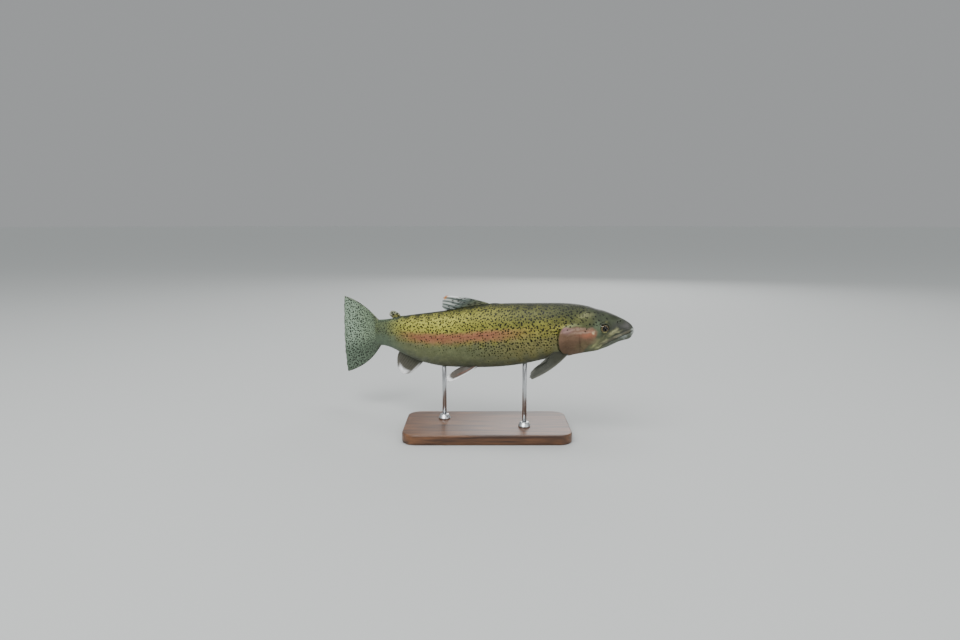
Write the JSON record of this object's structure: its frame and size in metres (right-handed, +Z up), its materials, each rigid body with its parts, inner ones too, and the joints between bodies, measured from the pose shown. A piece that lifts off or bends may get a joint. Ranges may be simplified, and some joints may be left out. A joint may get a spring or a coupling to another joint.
{
  "type": "rainbow trout",
  "caption": "Life-size rainbow trout, tail swung to one side, with spotted flanks and a pink side stripe, held level on rods over a plain flat display base.",
  "frame": {"origin": "middle of the underside of the display base, where it stands", "axes": "+X towards the fish's head, +Y towards its left, +Z up"},
  "size_m": [0.5498, 0.2666, 0.2501],
  "materials": {
    "scaled_skin": "wet scales, olive back with dark spots, pink stripe, grey belly",
    "head_skin": "wet smooth skin, grey-green with dark spots",
    "gill_cover": "wet smooth skin, rose pink with a pearly sheen",
    "fins": "thin ribbed membrane, grey-olive with pale tips",
    "tail_fin": "thin ribbed membrane, blue-grey with rows of dark spots",
    "eye": "clear polished dome over a gold ring and a black pupil",
    "stand_wood": "dark stained wood under satin lacquer",
    "stand_steel": "fine brushed"
  },
  "bodies": {
    "root": {"head": "head_skin", "lower_jaw": "head_skin", "gill_cover_right": "gill_cover", "upper_jaw_right": "head_skin", "eye_right": "eye", "gill_cover_left": "gill_cover", "upper_jaw_left": "head_skin", "eye_left": "eye", "trunk_front": "scaled_skin", "trunk_rear": "scaled_skin", "tail_stalk": "scaled_skin", "dorsal_fin": "fins", "adipose_fin": "fins", "tail_fin": "tail_fin", "anal_fin": "fins", "pelvic_fin_right": "fins", "pelvic_fin_left": "fins", "pectoral_fin_right": "fins", "pectoral_fin_left": "fins", "stand_base": "stand_wood", "stand_rod_front": "stand_steel", "stand_rod_rear": "stand_steel", "stand_collar_front": "stand_steel", "stand_collar_rear": "stand_steel"}
  },
  "joints": []
}
